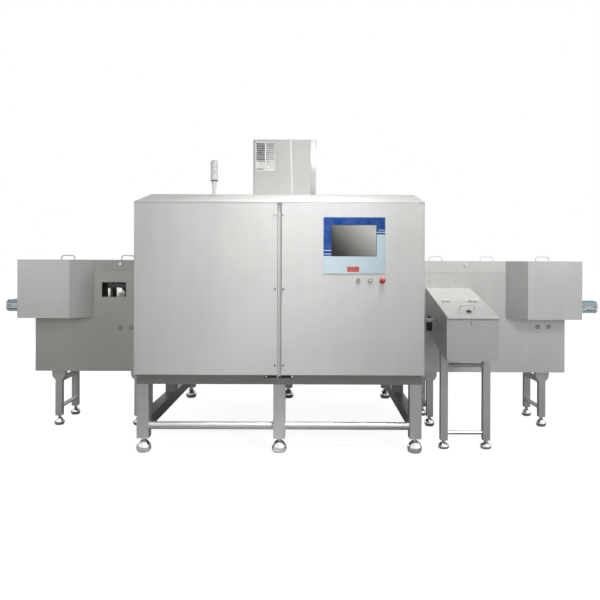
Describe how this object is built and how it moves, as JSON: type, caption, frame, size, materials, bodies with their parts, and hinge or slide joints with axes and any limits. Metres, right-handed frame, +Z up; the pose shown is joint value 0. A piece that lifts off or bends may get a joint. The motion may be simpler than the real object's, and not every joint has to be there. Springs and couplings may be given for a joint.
{
  "type": "x-ray bottle inspection machine",
  "caption": "Stainless x-ray inspection cabinet on a leg frame, with lidded conveyor tunnels each side, a reject chute, an operator panel and a roof cooler.",
  "frame": {"origin": "on the floor under the front centre foot, at the axis of its stud", "axes": "+X along the conveyor from infeed to outfeed, +Y from the operator's side to the back, +Z up"},
  "size_m": [4.551, 1.943, 2.209],
  "materials": {
    "frame_steel": "satin stainless tube",
    "cabinet_steel": "bead-blasted stainless steel",
    "door_steel": "bead-blasted stainless steel",
    "tunnel_steel": "bead-blasted stainless steel",
    "lid_steel": "bead-blasted stainless steel",
    "duct_steel": "plain stainless sheet",
    "cooler_steel": "brushed stainless sheet",
    "polished_steel": "polished stainless steel",
    "seal_rubber": "matt black",
    "panel_print": "printed pale and deep blue",
    "screen_glass": "dark glass",
    "window_glass": "smoked",
    "black_plastic": "fine grain",
    "start_cap": "lit white cap",
    "stop_red": "gloss red",
    "belt_blue": "moulded chain plates",
    "rail_plastic": "machined",
    "roller_grey": "turned",
    "unit_paint": "powder coat",
    "motor_paint": "powder coat",
    "module_plastic": "moulded",
    "plate_zinc": "plated sheet",
    "pole_plastic": "moulded",
    "lens_white": "translucent",
    "air_grey": "moulded",
    "cylinder_alloy": "anodised"
  },
  "bodies": {
    "machine": {"frame_legs": "frame_steel", "frame_beams": "frame_steel", "frame_feet": "polished_steel", "cabinet_shell": "cabinet_steel", "centre_post": "cabinet_steel", "rear_panels": "door_steel", "door_pivots": "polished_steel", "left_tunnel": "tunnel_steel", "right_tunnel": "tunnel_steel", "left_transfer_box": "tunnel_steel", "right_transfer_box": "tunnel_steel", "tunnel_window": "window_glass", "lid_hinges": "polished_steel", "face_plugs": "polished_steel", "conveyor_belts": "belt_blue", "conveyor_frames": "duct_steel", "guide_rails": "rail_plastic", "drive_motor": "motor_paint", "inner_tunnel": "duct_steel", "xray_generator": "unit_paint", "line_detector": "unit_paint", "electrics_plate": "plate_zinc", "control_modules": "module_plastic", "cooler_housing": "cooler_steel", "cooler_grille": "cooler_steel", "fan_motor": "motor_paint", "tower_base": "pole_plastic", "tower_lenses": "lens_white", "tunnel_stands": "frame_steel", "stand_feet": "polished_steel", "reject_housing": "tunnel_steel", "reject_hinges": "polished_steel", "reject_stand": "frame_steel", "air_regulator": "air_grey", "pusher_cylinder": "cylinder_alloy"},
    "left_door_group": {"left_door": "door_steel", "left_door_screws": "polished_steel", "left_door_seal": "seal_rubber"},
    "right_door_group": {"right_door": "door_steel", "right_door_screws": "polished_steel", "right_door_seal": "seal_rubber", "operator_panel": "panel_print", "touch_screen": "screen_glass", "button_collars": "black_plastic"},
    "key_switch_body": {"key_switch": "polished_steel"},
    "start_button_body": {"start_button": "start_cap"},
    "emergency_stop_body": {"emergency_stop": "stop_red"},
    "left_lid_body": {"left_lid": "lid_steel"},
    "right_lid_body": {"right_lid": "lid_steel"},
    "left_box_lid_body": {"left_box_lid": "lid_steel"},
    "right_box_lid_body": {"right_box_lid": "lid_steel"},
    "reject_lid_body": {"reject_lid": "lid_steel"},
    "left_lid_lock_body": {"left_lid_lock": "polished_steel"},
    "right_lid_lock_body": {"right_lid_lock": "polished_steel"},
    "reject_lock_body": {"reject_lock": "black_plastic"},
    "infeed_roller_body": {"infeed_roller": "roller_grey"},
    "main_roller_body": {"main_roller": "roller_grey"},
    "outfeed_roller_body": {"outfeed_roller": "roller_grey"},
    "cooler_fan_body": {"cooler_fan": "black_plastic"},
    "pusher_rod_body": {"pusher_rod": "cylinder_alloy"}
  },
  "joints": [
    {"name": "left_door_swing", "type": "hinge", "parent": "machine", "child": "left_door_group", "pos_m": [-0.958, -0.065, 1.108], "axis": [0, 0, -1], "range_deg": [0, 105]},
    {"name": "right_door_swing", "type": "hinge", "parent": "machine", "child": "right_door_group", "pos_m": [0.958, -0.065, 1.108], "axis": [0, 0, 1], "range_deg": [0, 105]},
    {"name": "key_turn", "type": "hinge", "parent": "right_door_group", "child": "key_switch_body", "pos_m": [0.527, -0.084, 1.167], "axis": [0, 1, 0], "range_deg": [0, 90]},
    {"name": "start_press", "type": "slide", "parent": "right_door_group", "child": "start_button_body", "axis": [0, 1, 0], "range_m": [0, 0.003], "stiffness_N_per_m": 600},
    {"name": "stop_press", "type": "slide", "parent": "right_door_group", "child": "emergency_stop_body", "axis": [0, 1, 0], "range_m": [0, 0.005]},
    {"name": "left_lid_lift", "type": "hinge", "parent": "machine", "child": "left_lid_body", "pos_m": [-1.2245, 1.1113, 1.293], "axis": [-1, 0, 0], "range_deg": [0, 100]},
    {"name": "right_lid_lift", "type": "hinge", "parent": "machine", "child": "right_lid_body", "pos_m": [1.35, 1.1113, 1.293], "axis": [-1, 0, 0], "range_deg": [0, 100]},
    {"name": "left_box_lid_lift", "type": "hinge", "parent": "machine", "child": "left_box_lid_body", "pos_m": [-1.75, 1.1113, 1.293], "axis": [-1, 0, 0], "range_deg": [0, 100]},
    {"name": "right_box_lid_lift", "type": "hinge", "parent": "machine", "child": "right_box_lid_body", "pos_m": [2.0025, 1.1113, 1.293], "axis": [-1, 0, 0], "range_deg": [0, 100]},
    {"name": "reject_lid_lift", "type": "hinge", "parent": "machine", "child": "reject_lid_body", "pos_m": [1.2815, 0.26372, 1.01597], "axis": [-1, 0, 0], "range_deg": [0, 105]},
    {"name": "left_lock_turn", "type": "hinge", "parent": "left_lid_body", "child": "left_lid_lock_body", "pos_m": [-1.271, 0.64, 1.268], "axis": [0, 1, 0], "range_deg": [0, 90]},
    {"name": "right_lock_turn", "type": "hinge", "parent": "right_lid_body", "child": "right_lid_lock_body", "pos_m": [1.417, 0.64, 1.268], "axis": [0, 1, 0], "range_deg": [0, 90]},
    {"name": "reject_lock_turn", "type": "hinge", "parent": "reject_lid_body", "child": "reject_lock_body", "pos_m": [1.2815, -0.00819, 0.95536], "axis": [0, -0.1944, 0.9809], "range_deg": [0, 90]},
    {"name": "infeed_roller_turn", "type": "hinge", "parent": "machine", "child": "infeed_roller_body", "pos_m": [-2.085, 0.592, 0.95], "axis": [0, 1, 0], "continuous": true},
    {"name": "main_roller_turn", "type": "hinge", "parent": "machine", "child": "main_roller_body", "pos_m": [2.131, 0.712, 0.95], "axis": [0, 1, 0], "continuous": true},
    {"name": "outfeed_roller_turn", "type": "hinge", "parent": "machine", "child": "outfeed_roller_body", "pos_m": [2.376, 0.592, 0.95], "axis": [0, 1, 0], "continuous": true},
    {"name": "fan_turn", "type": "hinge", "parent": "machine", "child": "cooler_fan_body", "pos_m": [-0.1345, 0.526, 2.0785], "axis": [0, 1, 0], "continuous": true},
    {"name": "pusher_stroke", "type": "slide", "parent": "machine", "child": "pusher_rod_body", "axis": [0, -1, 0], "range_m": [0, 0.095]}
  ]
}
